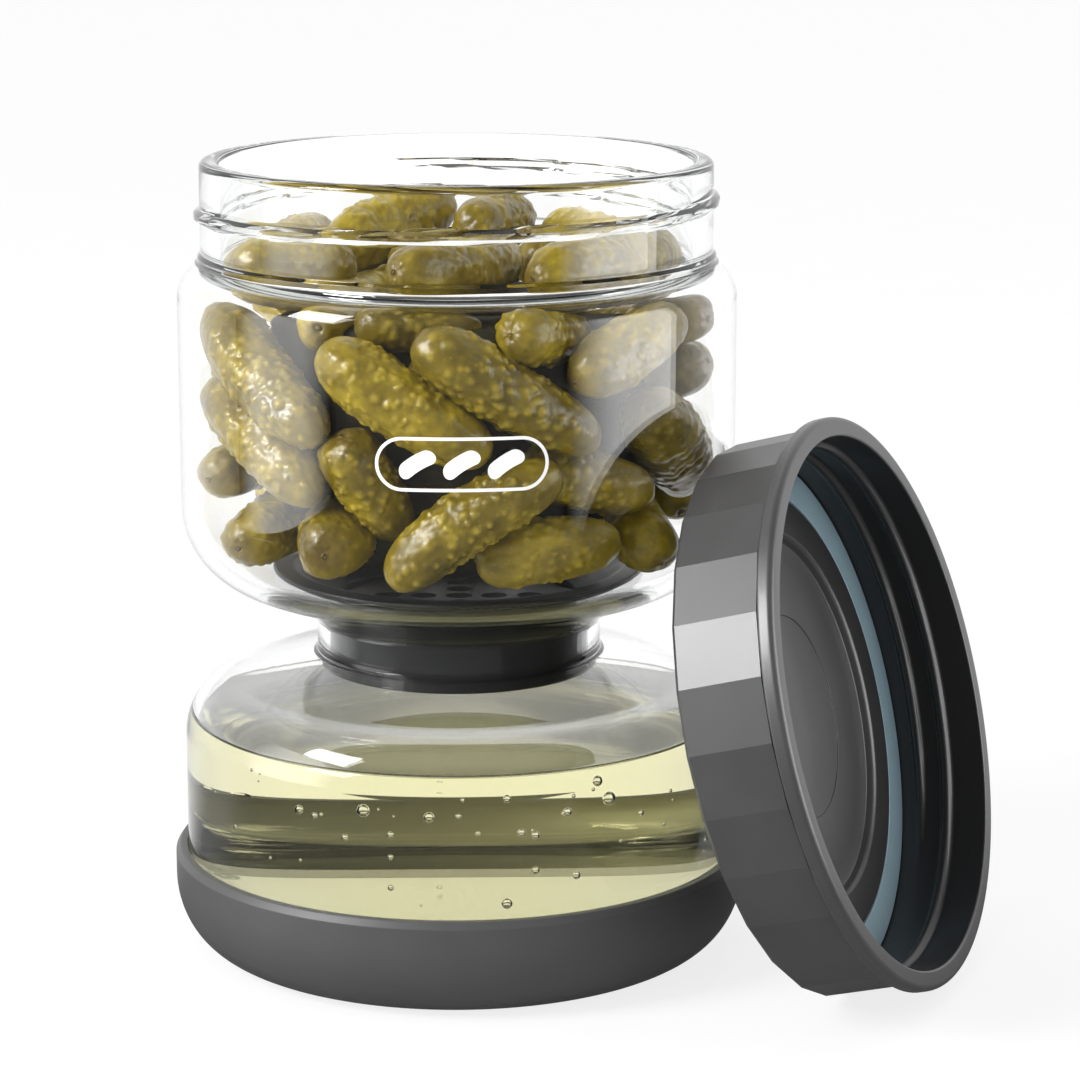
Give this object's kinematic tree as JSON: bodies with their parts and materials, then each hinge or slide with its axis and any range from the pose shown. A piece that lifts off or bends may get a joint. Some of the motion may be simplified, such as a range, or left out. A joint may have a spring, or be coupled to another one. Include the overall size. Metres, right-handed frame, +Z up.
{
  "type": "glass pickle jar",
  "caption": "Hourglass glass jar of gherkins over drained brine, with a waist strainer, grey base cup, and a screw lid leaning beside it.",
  "frame": {"origin": "middle of the base's underside, on the jar's axis", "axes": "+Z up along the jar's axis; the print on the glass looks towards -Y and the lid leans on the +X side"},
  "size_m": [0.1662, 0.1414, 0.1585],
  "materials": {
    "jar_glass": "clear smooth soda glass",
    "base_cup": "soft-touch matt dark grey",
    "strainer": "dark grey moulded silicone",
    "brine": "clear pale yellow brine",
    "gherkin_heap": "wet warty skin of pickled gherkins",
    "lid_shell": "satin gunmetal faceted moulding",
    "lid_gasket": "blue-grey silicone sealing ring"
  },
  "bodies": {
    "root": {"jar_glass": "jar_glass", "base_cup": "base_cup", "strainer": "strainer", "brine": "brine", "gherkin_heap": "gherkin_heap", "lid_shell": "lid_shell", "lid_gasket": "lid_gasket"}
  },
  "joints": []
}
